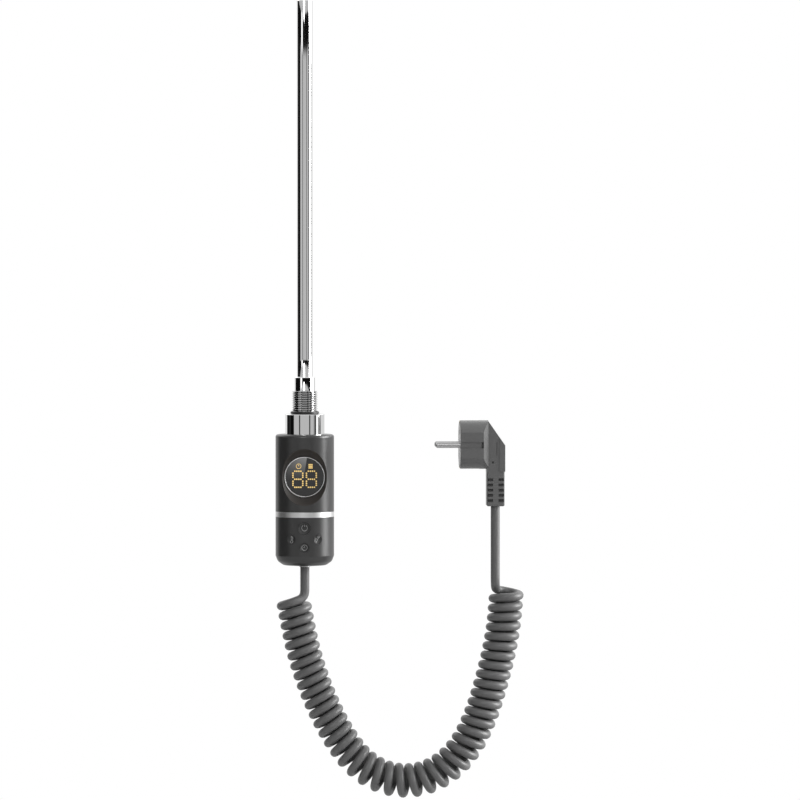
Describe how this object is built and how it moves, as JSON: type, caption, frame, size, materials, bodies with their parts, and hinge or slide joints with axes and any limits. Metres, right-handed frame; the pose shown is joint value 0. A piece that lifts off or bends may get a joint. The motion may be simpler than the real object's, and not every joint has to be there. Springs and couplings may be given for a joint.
{
  "type": "electric immersion heating rod",
  "caption": "Chrome immersion heating rod with a pipe thread, round controller head with display and buttons, curly mains cord and angled plug.",
  "frame": {"origin": "on the rod's axis at the top of the sealing ring, where the boss that the rod screws into seats", "axes": "+Z along the rod, away from the head; the display faces -Y; +X towards the side the plug hangs on"},
  "size_m": [0.2019, 0.0472, 0.6443],
  "materials": {
    "steel_sheath": "polished",
    "magnesia": "pressed powder",
    "resistance_wire": "drawn wire",
    "ceramic": "fired, unglazed",
    "nickel_pin": "drawn",
    "tinned_crimp": "tinned",
    "end_seal": "potted",
    "sensor_can": "drawn",
    "fuse_can": "drawn",
    "chromed_fitting": "polished",
    "seal_rubber": "moulded",
    "chromed_sleeve": "polished",
    "ring_steel": "stamped",
    "head_plastic": "fine satin",
    "satin_trim": "satin",
    "screw_steel": "zinc plated",
    "silicone": "moulded",
    "bezel_metal": "satin",
    "dark_glass": "polished",
    "lit_amber": "lit",
    "module_plastic": "moulded",
    "circuit_board": "solder mask",
    "relay_plastic": "moulded",
    "chip_plastic": "moulded",
    "can_metal": "sleeved",
    "block_plastic": "moulded",
    "lead_insulation": "extruded",
    "switch_plastic": "moulded",
    "button_plastic": "satin",
    "clamp_plastic": "moulded",
    "cord_ring_metal": "satin",
    "cord_jacket": "satin, extruded",
    "plug_plastic": "satin, moulded",
    "pin_metal": "nickel plated",
    "carrier_plastic": "moulded",
    "earth_metal": "tinned"
  },
  "bodies": {
    "fitting": {"heating_sheath": "steel_sheath", "magnesia_fill": "magnesia", "resistance_winding": "resistance_wire", "terminal_pins": "nickel_pin", "crimp_connectors": "tinned_crimp", "ceramic_core": "ceramic", "sheath_end_seal": "end_seal", "temperature_sensor": "sensor_can", "thermal_fuse": "fuse_can", "threaded_fitting": "chromed_fitting", "sealing_ring": "seal_rubber", "cover_sleeve": "chromed_sleeve", "swivel_ring": "ring_steel", "swivel_seal": "seal_rubber"},
    "head": {"upper_housing": "head_plastic", "trim_band": "satin_trim", "housing_screws": "screw_steel", "lower_housing": "head_plastic", "housing_seal": "silicone", "bezel_ring": "bezel_metal", "display_lens": "dark_glass", "display_digits": "lit_amber", "status_icons": "lit_amber", "display_module": "module_plastic", "display_board": "circuit_board", "main_board": "circuit_board", "relay": "relay_plastic", "power_module": "module_plastic", "capacitors": "can_metal", "microcontroller": "chip_plastic", "terminal_block": "block_plastic", "terminal_screws": "screw_steel", "element_leads": "lead_insulation", "mains_leads": "lead_insulation", "button_board": "circuit_board", "button_switches": "switch_plastic", "cord_ring": "cord_ring_metal", "cord_clamp": "clamp_plastic", "clamp_screws": "screw_steel", "cord_tail_heater": "cord_jacket", "curly_cord": "cord_jacket", "cord_tail_plug": "cord_jacket", "plug_body": "plug_plastic", "plug_pins": "pin_metal", "plug_carrier": "carrier_plastic", "earth_contacts": "earth_metal", "earth_socket": "earth_metal"},
    "power_button": {"power_button": "button_plastic"},
    "temperature_button": {"temperature_button": "button_plastic"},
    "mode_button": {"mode_button": "button_plastic"},
    "timer_button": {"timer_button": "button_plastic"}
  },
  "joints": [
    {"name": "head_swivel", "type": "hinge", "parent": "fitting", "child": "head", "pos_m": [0, 0, 0], "axis": [0, 0, 1], "range_deg": [-170, 170]},
    {"name": "power_press", "type": "slide", "parent": "head", "child": "power_button", "axis": [0, 1, 0], "range_m": [0, 0.0006], "stiffness_N_per_m": 600},
    {"name": "temperature_press", "type": "slide", "parent": "head", "child": "temperature_button", "axis": [0.4602, 0.8878, 0], "range_m": [0, 0.0006], "stiffness_N_per_m": 600},
    {"name": "mode_press", "type": "slide", "parent": "head", "child": "mode_button", "axis": [-0.4602, 0.8878, 0], "range_m": [0, 0.0006], "stiffness_N_per_m": 600},
    {"name": "timer_press", "type": "slide", "parent": "head", "child": "timer_button", "axis": [0, 1, 0], "range_m": [0, 0.0006], "stiffness_N_per_m": 600}
  ]
}
